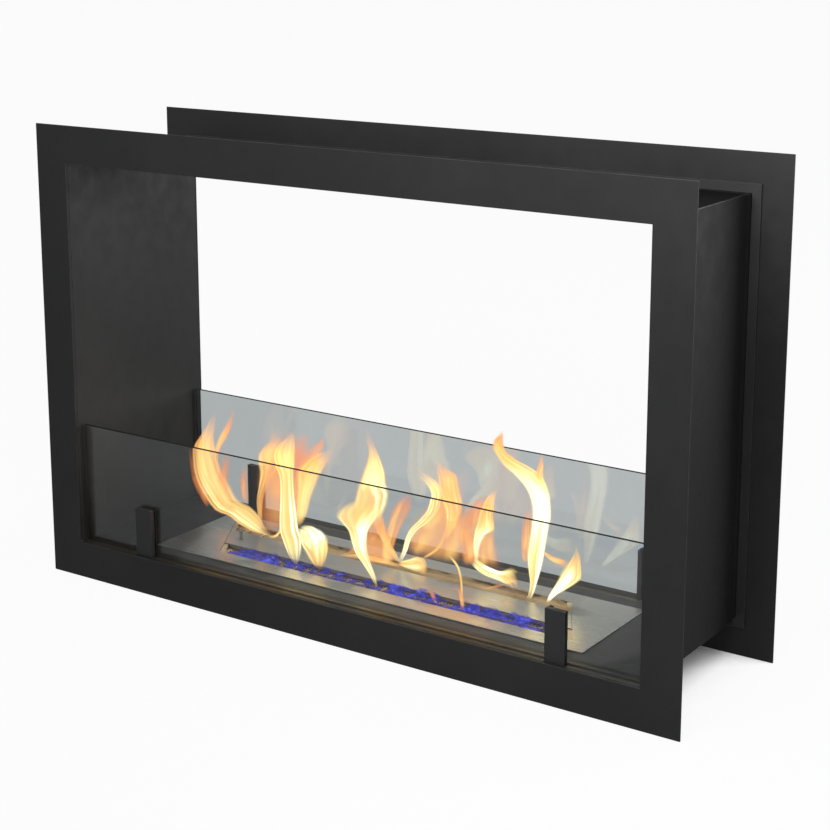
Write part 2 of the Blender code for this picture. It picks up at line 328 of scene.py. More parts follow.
def pane_glass(name, specular):
    """Clear tempered glass, faintly green, with the slight waviness that tempering leaves."""
    n = Nodes(name)
    place = n.place()
    wave = n.noise(place, 7.0, 1.0)
    film = n.noise(place, 30.0, 4.0, 0.6)
    colour = n.ramp(film, (0.3, (0.855, 0.875, 0.865)), (0.7, (0.875, 0.895, 0.885)))
    n.principled(Base_Color=colour, Roughness=0.0, IOR=1.5, Specular_IOR_Level=specular,
                 Transmission_Weight=1.0, Normal=n.bump(wave, 0.0002, 0.03))
    return n.material


def cut_glass(name):
    """The ground and polished rim of a pane."""
    n = Nodes(name)
    grind = n.noise(n.place(), 700.0, 3.0)
    colour = n.ramp(grind, (0.3, (0.008, 0.012, 0.011)), (0.7, (0.018, 0.026, 0.024)))
    n.principled(Base_Color=colour, Roughness=n.span(grind, 0.3, 0.7, 0.45, 0.6), Specular_IOR_Level=0.2)
    return n.material


def flame_material(name):
    """Burning gas: clear bodies with bright streaks and rims, fading out at root and tip.

    The mesh says how hot and how dense a flame is, and where its own pattern starts.
    """
    n = Nodes(name)
    across, along, both = n.fire_place()
    burn = n.add("ShaderNodeAttribute", attribute_name=own_tone).outputs["Color"]
    given = n.add("ShaderNodeSeparateXYZ")
    n.join(burn, given.inputs["Vector"])
    heat, cover, start = given.outputs["X"], given.outputs["Y"], given.outputs["Z"]
    lift = n.add("ShaderNodeCombineXYZ")
    n.join(start, lift.inputs["X"])
    n.join(start, lift.inputs["Z"])

    def wisp(stretch, detail, warp):
        move = n.add("ShaderNodeVectorMath", operation="MULTIPLY_ADD")
        n.join(both, move.inputs[0])
        move.inputs[1].default_value = (*stretch, 1.0)
        n.join(lift.outputs["Vector"], move.inputs[2])
        return n.noise(move.outputs["Vector"], 1.0, detail, 0.5, warp)

    broad = wisp((1.5, 1.4), 1.5, 0.8)
    streak = wisp((1.9, 0.9), 1.5, 1.2)
    fold = wisp((1.6, 2.2), 1.0, 1.2)
    middle = n.math("ABSOLUTE", n.math("MULTIPLY_ADD", across, 2.0, -1.0))
    ragged = n.math("MULTIPLY_ADD", n.math("SUBTRACT", broad, 0.5), 0.7, middle)
    soft_from = n.math("MULTIPLY_ADD", heat, 0.35, 0.25)
    side = n.math("DIVIDE", n.math("SUBTRACT", 1.0, ragged), n.math("SUBTRACT", 1.0, soft_from), clamp=True)
    side = n.span(side, 0.0, 1.0, 0.0, 1.0, True)
    tip_at = n.math("MULTIPLY_ADD", n.math("SUBTRACT", streak, 0.5), 0.6, along)
    tip = n.span(tip_at, 0.6, 1.0, 1.0, 0.0, True)
    root = n.span(along, 0.0, 0.16, 0.0, 1.0, True)
    rim = n.math("MULTIPLY", n.span(ragged, 0.35, 0.68, 0.0, 0.8, True), side)
    core = n.span(streak, 0.42, 0.62, 0.0, 1.0, True)
    lit = n.math("MAXIMUM", rim, core)
    lit = n.math("MULTIPLY", lit, n.math("MULTIPLY_ADD", heat, 0.8, 0.25, clamp=True))
    lit = n.math("MULTIPLY", lit, n.span(along, 0.35, 1.0, 1.0, 0.4))
    clear = n.math("MULTIPLY", n.span(fold, 0.42, 0.62, 0.0, 0.5, True), n.math("SUBTRACT", 1.0, heat))
    body = n.math("MULTIPLY_ADD", n.math("SUBTRACT", 1.0, cover), lit, cover)
    body = n.math("MULTIPLY", body, n.math("SUBTRACT", 1.0, clear))
    ends = n.math("MULTIPLY", tip, root)
    alpha = n.math("MULTIPLY", n.math("MULTIPLY", side, ends), body, clamp=True)
    warm = n.math("MULTIPLY_ADD", lit, 0.5, n.math("MULTIPLY", heat, 0.58))
    warm = n.math("MULTIPLY_ADD", n.span(along, 0.4, 1.0, 0.0, 1.0), -0.22, warm)
    warm = n.math("MULTIPLY_ADD", n.math("SUBTRACT", 1.0, side), -0.25, warm, clamp=True)
    colour = n.ramp(warm, (0.0, (1.0, 0.27, 0.05)), (0.2, (1.0, 0.4, 0.12)), (0.4, (1.0, 0.55, 0.17)),
                    (0.6, (1.0, 0.7, 0.23)), (0.76, (1.0, 0.85, 0.38)), (0.93, (1.0, 0.98, 0.72)))
    power = n.span(warm, 0.0, 1.0, flame_dim, flame_bright)
    path = n.add("ShaderNodeLightPath")
    cast = n.math("SUBTRACT", path.outputs["Is Glossy Ray"], path.outputs["Is Transmission Ray"], clamp=True)
    cast = n.math("MULTIPLY_ADD", cast, flame_mirrored, 1.0)
    power = n.math("MULTIPLY", power, cast)
    n.burning(colour, power, alpha)
    return n.material


def blue_material(name):
    """The low blue fire over the fibre, mottled and partly clear."""
    n = Nodes(name)
    spot = n.noise(n.place((0.55, 0.8, 0.9)), 130.0, 2.5, 0.55, 0.3)
    patch = n.noise(n.place((1.0, 0.3, 0.3), (0.31, 0.0, 0.0)), 24.0, 2.0)
    _, high, _ = n.fire_place()
    mottle = n.math("MULTIPLY_ADD", n.math("SUBTRACT", patch, 0.5), 0.35, spot)
    colour = n.ramp(mottle, (0.36, (0.012, 0.012, 0.06)), (0.5, (0.03, 0.03, 0.3)),
                    (0.6, (0.05, 0.06, 0.7)), (0.74, (0.22, 0.22, 1.0)))
    dense = n.span(mottle, 0.38, 0.62, 0.12, 0.9, True)
    alpha = n.math("MULTIPLY", dense, n.span(high, 0.55, 1.0, 1.0, 0.0, True), clamp=True)
    n.burning(colour, n.span(mottle, 0.35, 0.7, blue_dim, blue_bright), alpha)
    return n.material


def fire_light_veil_material(name):
    """A faint golden glow over the fibre of the rear slot: painted light of the fire on the fibre."""
    n = Nodes(name)
    haze = n.noise(n.place((0.4, 1.0, 1.0)), 60.0, 2.0, 0.5, 0.4)
    _, high, _ = n.fire_place()
    colour = n.ramp(haze, (0.35, (0.3, 0.19, 0.09)), (0.65, (0.5, 0.36, 0.19)))
    alpha = n.math("MULTIPLY", n.span(haze, 0.3, 0.6, 0.35, 0.6), n.span(high, 0.6, 1.0, 1.0, 0.0, True))
    n.burning(colour, fire_light_bright, alpha)
    return n.material


def floor_material():
    """Pale floor. The camera sees the pale ground of the picture with the object's shadow on it, partly lamp
    shadow and partly painted shade where little open air is over the floor.

    Metal and glass see the greyer ground that the photograph shows in them.
    """
    n = Nodes("pale_floor")
    path = n.add("ShaderNodeLightPath")
    cloud = n.noise(n.place(), 1.3, 3.0)
    open_air = n.add("ShaderNodeAmbientOcclusion", samples=under_samples)
    open_air.inputs["Distance"].default_value = under_reach
    # Where little open air is over the floor the pale lift fades: painted shade under the object
    pale = n.span(open_air.outputs["AO"], closed_in, wide_open, 0.0, 1.0, True)
    paint = n.add("ShaderNodeBsdfDiffuse")
    n.join(n.ramp(cloud, (0.3, floor_paint[0]), (0.7, floor_paint[1])), paint.inputs["Color"])
    ground = paint.outputs["BSDF"]
    for way, colour, share in (("Is Glossy Ray", ground_in_metal, 1.0),
                               ("Is Transmission Ray", ground_in_glass, 1.0),
                               ("Is Camera Ray", ground_to_camera, n.math("MULTIPLY", pale, floor_lift))):
        glow = n.add("ShaderNodeEmission")
        glow.inputs["Color"].default_value = (*colour, 1.0)
        mixed = n.add("ShaderNodeMixShader")
        n.join(n.math("MULTIPLY", path.outputs[way], share), mixed.inputs["Fac"])
        n.join(ground, mixed.inputs[1])
        n.join(glow.outputs["Emission"], mixed.inputs[2])
        ground = mixed.outputs["Shader"]
    n.join(ground, n.output.inputs["Surface"])
    return n.material


# ---------------------------------------------------------------- the CAD nodes
def dress(name, material, bevel=sheet_bevel, edge=None):
    """Gives a node its material, and lets modifiers round its sharp edges."""
    piece = nodes[name]
    piece.data.materials.clear()
    piece.data.materials.append(material)
    if edge is not None:
        piece.data.materials.append(edge)
    if bevel:
        weld = piece.modifiers.new("weld", "WELD")
        weld.merge_threshold = weld_reach
        soft = piece.modifiers.new("edges", "BEVEL")
        soft.width = bevel
        soft.segments = bevel_segments
        soft.limit_method = "ANGLE"
        soft.angle_limit = math.radians(sharp_angle)
        soft.use_clamp_overlap = True
        soft.material = 1 if edge is not None else -1
    return piece


frame_coat = powder_coat("frame_coat", 0.017)
# The bevelled edges of the coated sheets get this lighter coat as a painted highlight
frame_edge_highlight = edge_highlight("frame_edge_highlight", 0.02)
inner_coat = powder_coat("inner_coat", 0.016, neutral, rough=(0.44, 0.56), specular=0.4, peel_strength=0.15)
floor_coat = powder_coat("floor_coat", 0.024, neutral, rough=(0.46, 0.56), specular=0.16, peel_strength=0.15)
# A lighter copy of the frame's black coat for the rear frame: painted light
rear_lit_coat = powder_coat("rear_frame_lit_coat", 0.025)
# A near black copy of the black coat for the casing's top: painted shade
painted_shade_coat = powder_coat("painted_shade_coat", 0.003, neutral, rough=(0.6, 0.7), specular=0.12)
# A darker copy of the frame's black coat for the casing's sides and bottom: painted shade
casing_shaded_coat = powder_coat("casing_shaded_coat", 0.012, neutral, rough=(0.5, 0.62), specular=0.26)
# A lighter copy of the black coat for the collars: painted light on their front faces
collar_lit_coat = powder_coat("collar_lit_coat", 0.03, neutral, rough=(0.4, 0.52), specular=0.45)
clip_coat = powder_coat("clip_coat", 0.02, (1.0, 1.0, 1.02), rough=(0.36, 0.48), specular=0.45)
sill_coat = gloss_enamel("sill_enamel")
tray_steel = brushed_steel("tray_steel", 0.4)
cover_steel = brushed_steel("cover_steel", 0.38, (0.26, 0.42))
dull_steel = heated_steel("heated_steel")
grid_steel = perforated_steel("perforated_steel")
fibre_mat = fibre("ceramic_fibre")
front_clear = pane_glass("front_clear_glass", 0.22)
rear_clear = pane_glass("rear_clear_glass", 0.85)
rim_glass = cut_glass("rim_glass")

dress("front_frame", frame_coat, edge=frame_edge_highlight)
dress("rear_frame", rear_lit_coat, edge=frame_edge_highlight)
for part in ("front_collar", "rear_collar"):
    dress(part, collar_lit_coat, edge=frame_edge_highlight)
for part in ("casing_left", "casing_right", "casing_bottom"):
    dress(part, casing_shaded_coat, edge=frame_edge_highlight)
dress("casing_top", painted_shade_coat, edge=frame_edge_highlight)
dress("floor_plate", floor_coat, edge=frame_edge_highlight)
for part in ("liner_left", "liner_right", "liner_top"):
    dress(part, inner_coat, edge=frame_edge_highlight)
for part in sills:
    dress(part, sill_coat)
for part in clips:
    dress(part, clip_coat, edge=frame_edge_highlight)
for part, clear in (("front_glass", front_clear), ("rear_glass", rear_clear)):
    pane = dress(part, clear, bevel=glass_bevel, edge=rim_glass)
    # The faces that look forward and back are clear, the rim is ground
    for face in pane.data.polygons:
        face.material_index = 0 if abs(face.normal.y) > 0.5 else 1
dress("burner_plate", tray_steel)
dress("cover_plate", cover_steel)
dress("cover_peg", cover_steel, bevel=0.0)
dress("burner_tank", dull_steel)
for part in supports:
    dress(part, dull_steel)
for part in grids:
    dress(part, grid_steel, bevel=0.0)
for part in cores:
    dress(part, fibre_mat, bevel=fibre_bevel)


# ---------------------------------------------------------------- flames
# Each row: name, slot, how hot and how dense it is from 0 to 1, and its two edges as (x, z, x, z) in metres,
# from root to tip
flame_edges = (
    ("left_main", "rear", 0.68, 0.5, (
        (-0.2368, 0.0494, -0.2358, 0.0505), (-0.2581, 0.0494, -0.2499, 0.0633),
        (-0.2768, 0.0515, -0.2621, 0.0781), (-0.2979, 0.057, -0.2773, 0.0886),
        (-0.3153, 0.066, -0.2918, 0.0924), (-0.342, 0.0713, -0.3015, 0.0982),
        (-0.365, 0.0954, -0.3138, 0.1174), (-0.3774, 0.1183, -0.3258, 0.1314),
        (-0.3809, 0.1429, -0.3343, 0.1509), (-0.3792, 0.1644, -0.3386, 0.1681),
        (-0.366, 0.1819, -0.34, 0.1832), (-0.3534, 0.1992, -0.3367, 0.1981),
        (-0.3449, 0.212, -0.3344, 0.2118), (-0.336, 0.2218, -0.335, 0.2219))),
    ("left_fork", "rear", 0.3, 0.45, (
        (-0.3356, 0.1219, -0.3212, 0.1264), (-0.3398, 0.1442, -0.3292, 0.1461),
        (-0.3392, 0.1635, -0.3276, 0.1662), (-0.3319, 0.1837, -0.3152, 0.1857),
        (-0.3228, 0.2004, -0.3072, 0.2022), (-0.3128, 0.219, -0.3044, 0.2184),
        (-0.3049, 0.2341, -0.3044, 0.2342))),
    ("left_shade", "rear", 0, 0.35, (
        (-0.3526, 0.0705, -0.3474, 0.0851), (-0.3692, 0.0849, -0.3605, 0.0981),
        (-0.3846, 0.1054, -0.3716, 0.1155), (-0.3901, 0.1316, -0.3778, 0.1337),
        (-0.3907, 0.1578, -0.3829, 0.1576))),
    ("mid_body", "front", 0.92, 0.6, (
        (-0.1331, 0.0521, -0.1287, 0.0519), (-0.145, 0.0679, -0.1219, 0.0697),
        (-0.1526, 0.0853, -0.1193, 0.0919), (-0.1572, 0.0989, -0.1239, 0.1055),
        (-0.1563, 0.1208, -0.1261, 0.1266), (-0.1541, 0.1429, -0.1279, 0.1478),
        (-0.1528, 0.1648, -0.1288, 0.1691), (-0.1542, 0.1807, -0.1285, 0.187),
        (-0.1618, 0.1947, -0.1278, 0.2049), (-0.1641, 0.2076, -0.1271, 0.2192),
        (-0.1573, 0.2205, -0.1273, 0.2298), (-0.1428, 0.2343, -0.1276, 0.2386),
        (-0.1313, 0.2453, -0.1301, 0.2456))),
    ("mid_left", "rear", 0.5, 0.42, (
        (-0.2524, 0.0571, -0.2486, 0.0586), (-0.2574, 0.079, -0.249, 0.0806),
        (-0.2588, 0.1016, -0.2456, 0.1116), (-0.2545, 0.1251, -0.2284, 0.1411),
        (-0.2535, 0.1479, -0.2098, 0.1612), (-0.26, 0.1675, -0.2058, 0.1779),
        (-0.2551, 0.1807, -0.2093, 0.1873), (-0.241, 0.1932, -0.2136, 0.1959),
        (-0.2362, 0.2051, -0.2198, 0.2041), (-0.2318, 0.2151, -0.2305, 0.2153))),
    ("mid_rope", "rear", 0.55, 0.5, (
        (-0.2405, 0.0494, -0.2414, 0.0494), (-0.2303, 0.0494, -0.2316, 0.0536),
        (-0.219, 0.0599, -0.2236, 0.0628), (-0.2133, 0.0724, -0.2187, 0.0751),
        (-0.2075, 0.0886, -0.213, 0.0906))),
    ("mid_wing", "front", 0.52, 0.46, (
        (-0.1303, 0.1096, -0.1208, 0.1104), (-0.1282, 0.1334, -0.1084, 0.13),
        (-0.126, 0.1553, -0.0981, 0.157), (-0.1248, 0.177, -0.0855, 0.1805),
        (-0.1236, 0.195, -0.0768, 0.1979), (-0.1036, 0.2154, -0.0691, 0.2116),
        (-0.0781, 0.2275, -0.064, 0.2222), (-0.0605, 0.2333, -0.0597, 0.2331))),
    ("mid_wing_tip", "front", 0.25, 0.3, (
        (-0.1259, 0.1625, -0.1044, 0.1665), (-0.123, 0.1844, -0.0977, 0.1889),
        (-0.1157, 0.2052, -0.0868, 0.2085), (-0.1035, 0.226, -0.0815, 0.2269),
        (-0.0898, 0.2378, -0.0796, 0.2395), (-0.0816, 0.2472, -0.0808, 0.2473))),
    ("mid_bulb", "front", 0.9, 0.6, (
        (-0.1278, 0.1025, -0.1198, 0.1142), (-0.1236, 0.094, -0.1, 0.1159),
        (-0.1195, 0.084, -0.0839, 0.1112), (-0.1136, 0.0758, -0.0756, 0.1007),
        (-0.1059, 0.0676, -0.0736, 0.085), (-0.0957, 0.0607, -0.0777, 0.068),
        (-0.0872, 0.0581, -0.0838, 0.0585))),
    ("third_head", "front", 0.97, 0.65, (
        (0.0065, 0.0494, 0.009, 0.0494), (-0.0041, 0.0675, 0.0062, 0.0661),
        (-0.0147, 0.0812, -0.0007, 0.0834), (-0.0262, 0.0947, -0.0047, 0.0991),
        (-0.0327, 0.1111, -0.0046, 0.115), (-0.0375, 0.1243, -0.002, 0.1288),
        (-0.0474, 0.1322, 0.0054, 0.1397), (-0.0574, 0.1409, 0.0176, 0.1525),
        (-0.0531, 0.1527, 0.0225, 0.1635), (-0.0388, 0.1631, 0.0161, 0.1699),
        (-0.0239, 0.1708, 0.0023, 0.1749))),
    ("third_body", "rear", 0.72, 0.56, (
        (-0.0611, 0.0948, -0.0441, 0.0982), (-0.0802, 0.1167, -0.0334, 0.1257),
        (-0.0874, 0.13, -0.0262, 0.1378), (-0.0847, 0.145, -0.0245, 0.1525),
        (-0.0803, 0.1604, -0.0328, 0.1654), (-0.0737, 0.1789, -0.0369, 0.1826),
        (-0.0672, 0.1945, -0.0432, 0.1965), (-0.065, 0.2092, -0.0494, 0.209),
        (-0.0679, 0.2224, -0.0556, 0.2208), (-0.0669, 0.2375, -0.0657, 0.2377))),
    ("third_leg", "rear", 0.6, 0.5, (
        (-0.0139, 0.0545, -0.0105, 0.0577), (-0.0265, 0.0672, -0.0168, 0.0691),
        (-0.0399, 0.0837, -0.0256, 0.0837), (-0.05, 0.0999, -0.0314, 0.1007),
        (-0.0559, 0.1159, -0.0347, 0.12), (-0.0583, 0.1311, -0.0397, 0.1346))),
    ("third_root", "rear", 0.45, 0.4, (
        (-0.1391, 0.0494, -0.1373, 0.0494), (-0.1144, 0.0494, -0.1127, 0.0494),
        (-0.0967, 0.0575, -0.0907, 0.0494), (-0.0879, 0.0748, -0.0759, 0.0625))),
    ("fourth_stroke", "rear", 0.92, 0.58, (
        (-0.0139, 0.0563, -0.0089, 0.0551), (-0.0055, 0.0762, 0.002, 0.0748),
        (-0.0009, 0.0952, 0.0087, 0.0942), (0.0062, 0.111, 0.0194, 0.11),
        (0.0186, 0.1249, 0.0398, 0.1261), (0.0325, 0.1411, 0.0539, 0.1452),
        (0.0385, 0.1589, 0.0575, 0.1624), (0.0365, 0.1716, 0.0558, 0.1766),
        (0.0267, 0.1808, 0.0453, 0.1866), (0.0169, 0.1879, 0.0299, 0.1937),
        (0.0136, 0.1993, 0.0153, 0.2003))),
    ("fourth_body", "rear", 0.62, 0.5, (
        (0.0614, 0.1012, 0.0682, 0.1062), (0.0641, 0.1248, 0.0809, 0.1281),
        (0.064, 0.1471, 0.0919, 0.1524), (0.0591, 0.1638, 0.0902, 0.1703),
        (0.055, 0.1806, 0.0869, 0.1878), (0.0526, 0.1942, 0.0829, 0.201),
        (0.0513, 0.2052, 0.0669, 0.208), (0.0513, 0.2171, 0.0533, 0.2175))),
    ("fourth_line", "rear", 0.6, 0.5, (
        (0.0268, 0.0734, 0.0301, 0.0712), (0.0521, 0.0929, 0.0561, 0.0916),
        (0.0617, 0.112, 0.0658, 0.1113), (0.0657, 0.134, 0.0701, 0.1348),
        (0.0648, 0.1479, 0.0692, 0.1495))),
    ("fourth_blob", "rear", 0.8, 0.55, (
        (-0.0139, 0.0548, -0.0122, 0.0588), (0.0028, 0.0503, 0.0045, 0.0666),
        (0.0186, 0.0494, 0.0194, 0.0726), (0.0277, 0.0494, 0.0326, 0.0703),
        (0.0343, 0.0494, 0.0384, 0.0494))),
    ("pink_left", "front", 0.15, 0.5, (
        (0.1004, 0.0494, 0.1035, 0.0494), (0.0968, 0.0574, 0.1046, 0.0591),
        (0.0913, 0.0687, 0.0972, 0.0714))),
    ("pink_arch", "front", 0.2, 0.45, (
        (0.1469, 0.0494, 0.1492, 0.0494), (0.1419, 0.0536, 0.1484, 0.0571),
        (0.1372, 0.065, 0.1445, 0.0683), (0.1322, 0.0721, 0.1383, 0.0789),
        (0.1229, 0.0714, 0.1236, 0.075))),
    ("thin_line", "front", 0.6, 0.55, (
        (0.1399, 0.0655, 0.143, 0.0662), (0.1374, 0.089, 0.1409, 0.0911),
        (0.1327, 0.1065, 0.1362, 0.1092), (0.1242, 0.1176, 0.1273, 0.1203),
        (0.1172, 0.1237, 0.1188, 0.1254))),
    ("fifth_body", "rear", 0.76, 0.54, (
        (0.113, 0.0817, 0.1193, 0.082), (0.1104, 0.1069, 0.1218, 0.1057),
        (0.1126, 0.1284, 0.1322, 0.126), (0.1164, 0.1466, 0.1446, 0.1347),
        (0.1206, 0.1613, 0.1428, 0.1517), (0.1267, 0.175, 0.1415, 0.1688),
        (0.1343, 0.1847, 0.1429, 0.1814), (0.1439, 0.1909, 0.1451, 0.1911))),
    ("fifth_blob", "rear", 0.92, 0.66, (
        (0.1075, 0.0809, 0.1121, 0.0932), (0.1273, 0.0681, 0.1319, 0.0839),
        (0.1508, 0.064, 0.1514, 0.0803), (0.1664, 0.059, 0.1667, 0.0891),
        (0.1757, 0.054, 0.1798, 0.0911))),
    ("sixth_main", "rear", 0.92, 0.62, (
        (0.1901, 0.0494, 0.1935, 0.0494), (0.1929, 0.0543, 0.2009, 0.0546),
        (0.1957, 0.0723, 0.207, 0.0734), (0.1928, 0.089, 0.2124, 0.0897),
        (0.1902, 0.1092, 0.2174, 0.108), (0.1925, 0.1304, 0.2211, 0.1293),
        (0.1956, 0.1516, 0.2245, 0.1505), (0.1971, 0.1724, 0.2267, 0.1713),
        (0.195, 0.1891, 0.226, 0.1915), (0.1865, 0.2045, 0.2227, 0.2077),
        (0.1696, 0.2185, 0.2132, 0.2229), (0.1527, 0.2292, 0.1906, 0.233),
        (0.1442, 0.2396, 0.1648, 0.2401), (0.1383, 0.2489, 0.157, 0.2517),
        (0.1393, 0.2582, 0.1531, 0.2605), (0.1514, 0.2718, 0.1526, 0.2719))),
    ("sixth_tip", "rear", 0.5, 0.48, (
        (0.1984, 0.2101, 0.2186, 0.211), (0.2027, 0.2234, 0.2172, 0.2226),
        (0.2062, 0.2358, 0.2152, 0.2347), (0.2101, 0.2512, 0.2112, 0.2514))),
    ("sixth_side", "rear", 0.35, 0.42, (
        (0.1869, 0.0989, 0.1956, 0.1007), (0.1825, 0.1153, 0.1961, 0.1181),
        (0.1814, 0.1358, 0.1973, 0.1389), (0.1849, 0.1571, 0.1985, 0.1597),
        (0.1896, 0.1751, 0.1974, 0.1766))),
    ("seventh_body", "rear", 0.9, 0.6, (
        (0.2204, 0.0494, 0.2245, 0.0494), (0.225, 0.0613, 0.2354, 0.0623),
        (0.2329, 0.0755, 0.2508, 0.0746), (0.2416, 0.0925, 0.2711, 0.0909),
        (0.2502, 0.1073, 0.2757, 0.0987), (0.2573, 0.1163, 0.275, 0.1132),
        (0.2623, 0.1275, 0.2733, 0.1257), (0.2657, 0.138, 0.2668, 0.1382))),
    ("third_haze", "rear", 0.3, 0.4, (
        (-0.0366, 0.0676, -0.0197, 0.0711), (-0.0322, 0.1005, -0.0104, 0.0976),
        (-0.0254, 0.1308, 0.0029, 0.1218), (-0.0145, 0.1508, 0.0103, 0.1412),
        (0.0054, 0.1645, 0.0103, 0.1633))),
    ("fifth_haze", "rear", 0.2, 0.34, (
        (0.0924, 0.0749, 0.1162, 0.0799), (0.0843, 0.0952, 0.1121, 0.1009),
        (0.0793, 0.1225, 0.1087, 0.1283), (0.0792, 0.1472, 0.1116, 0.1499),
        (0.0878, 0.1663, 0.1068, 0.1678))),
    ("left_haze", "rear", 0.1, 0.3, (
        (-0.2889, 0.0921, -0.2767, 0.0944), (-0.2921, 0.1145, -0.2742, 0.1177),
        (-0.2906, 0.1357, -0.2737, 0.1387), (-0.2827, 0.1542, -0.278, 0.155))),
    ("base_mid", "rear", 0.6, 0.45, (
        (-0.1101, 0.0494, -0.1082, 0.0494), (-0.083, 0.0494, -0.0811, 0.057),
        (-0.0529, 0.0494, -0.0507, 0.0589), (-0.0232, 0.0494, -0.021, 0.0562),
        (0.002, 0.0523, 0.0037, 0.0563))),
    ("base_right", "rear", 0.35, 0.4, (
        (0.1095, 0.0494, 0.1118, 0.0494), (0.1165, 0.0494, 0.1189, 0.0494),
        (0.1314, 0.0494, 0.1314, 0.0528), (0.1509, 0.0577, 0.15, 0.0617),
        (0.1632, 0.0632, 0.1624, 0.0679))),
    ("mid_veil", "rear", 0.14, 0.36, (
        (-0.2535, 0.0494, -0.173, 0.0728), (-0.2572, 0.0905, -0.1634, 0.1157),
        (-0.2598, 0.1355, -0.1525, 0.1584), (-0.2506, 0.1747, -0.145, 0.1927),
        (-0.2315, 0.2096, -0.1464, 0.2162))),
    ("fourth_veil", "rear", 0.34, 0.44, (
        (-0.0022, 0.0703, 0.1004, 0.0773), (0.0041, 0.1077, 0.104, 0.1204),
        (0.0227, 0.1364, 0.0931, 0.1568), (0.0438, 0.1652, 0.0877, 0.1907),
        (0.0549, 0.2041, 0.0788, 0.2135))),
    ("fifth_veil", "rear", 0.3, 0.4, (
        (0.0844, 0.074, 0.1552, 0.0818), (0.0882, 0.1172, 0.1478, 0.1221),
        (0.0998, 0.1581, 0.1466, 0.1566), (0.1192, 0.1809, 0.1433, 0.1819))),
    ("left_veil", "rear", 0.14, 0.34, (
        (-0.3421, 0.0667, -0.2942, 0.072), (-0.3411, 0.1017, -0.3057, 0.1005),
        (-0.3312, 0.1419, -0.3116, 0.1301), (-0.3274, 0.175, -0.3086, 0.1667))),
    ("third_veil", "front", 0.36, 0.44, (
        (-0.0131, 0.078, 0.048, 0.0942), (-0.0253, 0.1038, 0.036, 0.1162),
        (-0.0127, 0.1274, 0.028, 0.1354), (0.0038, 0.1516, 0.0241, 0.1555))),
    ("sixth_point", "rear", 0.34, 0.8, (
        (0.159, 0.2173, 0.1869, 0.2263), (0.1481, 0.2324, 0.1716, 0.2379),
        (0.1403, 0.2448, 0.1594, 0.2466), (0.139, 0.2565, 0.1562, 0.2593),
        (0.1461, 0.2662, 0.1553, 0.2677), (0.1522, 0.2739, 0.1529, 0.2747))),
    ("seventh_arm", "rear", 0.5, 0.48, (
        (0.219, 0.1241, 0.2198, 0.1188), (0.2299, 0.1195, 0.2308, 0.1101),
        (0.2433, 0.1168, 0.242, 0.1056), (0.2566, 0.1155, 0.2532, 0.1038))),
)

# How the tongues are built. A veil or haze is a thin one
flame_rings = 34
flame_sides = 18
flame_flatness = 0.34
veil_flatness = 0.1
flame_wander = 0.003
wander_turn = 4.0
pattern_start = 1.0
pattern_step = 2.3

# How bright they are, how much more so in a mirror, and which ones no mirror shows
flame_dim = 1.2
flame_bright = 1.9
flame_mirrored = 0.5
unmirrored = ("left_main", "left_fork", "left_shade", "left_haze", "mid_veil")

# The low blue fire in the front slot, and in the rear one a golden glow that is painted light of the fire on
# its fibre, in metres
low_fire_start = -0.247
low_fire_end = 0.29
low_fire_low = 0.0488
low_fire_half_depth = 0.0115
low_fire_stations = 180
low_fire_sides = 14
blue_height = 0.0145
blue_dim = 0.6
blue_bright = 1.0
fire_light_height = 0.011
fire_light_bright = 1.0

# Their uneven crest, and how they narrow upwards and at both ends, as shares
crest_seed = 11
crest_lowest = 0.55
crest_highest = 1.25
crest_stations = 3
end_slope = 14
end_height = 0.02
end_depth = 0.3
top_narrowing = 0.55


def curve_point(points, t):
    """A point on the smooth line through the given points, t from 0 to 1."""
    last = len(points) - 1
    place = min(max(t, 0.0), 1.0) * last
    i = min(int(place), last - 1)
    s = place - i
    a, b = points[max(i - 1, 0)], points[i]
    c, d = points[i + 1], points[min(i + 2, last)]
    return tuple(
        0.5 * (2 * q + (r - p) * s + (2 * p - 5 * q + 4 * r - u) * s * s + (3 * q - p - 3 * r + u) * s ** 3)
        for p, q, r, u in zip(a, b, c, d))


def closed_tube(name, rings, uvs, material, burn=None):
    """A smooth closed mesh through rings of points, with its own coordinates along and across."""
    count = len(rings[0])
    verts = [v for ring in rings for v in ring]
    faces = []
    for i in range(len(rings) - 1):
        for k in range(count):
            a = i * count + k
            b = i * count + (k + 1) % count
            faces.append((a, b, b + count, a + count))
    faces.append(tuple(reversed(range(count))))
    faces.append(tuple((len(rings) - 1) * count + k for k in range(count)))
    mesh = bpy.data.meshes.new(name)
    mesh.from_pydata(verts, [], faces)
    layer = mesh.uv_layers.new(name=own_places)
    flat = [uv for ring in uvs for uv in ring]
    for loop in mesh.loops:
        layer.data[loop.index].uv = flat[loop.vertex_index]
    if burn is not None:
        tone = mesh.color_attributes.new(name=own_tone, type="FLOAT_COLOR", domain="POINT")
        for item in tone.data:
            item.color = (*burn, 1.0)
    for polygon in mesh.polygons:
        polygon.use_smooth = True
    mesh.materials.append(material)
    mesh.update()
    piece = bpy.data.objects.new(name, mesh)
    bpy.context.scene.collection.objects.link(piece)
    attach(piece, "burner")
    return piece


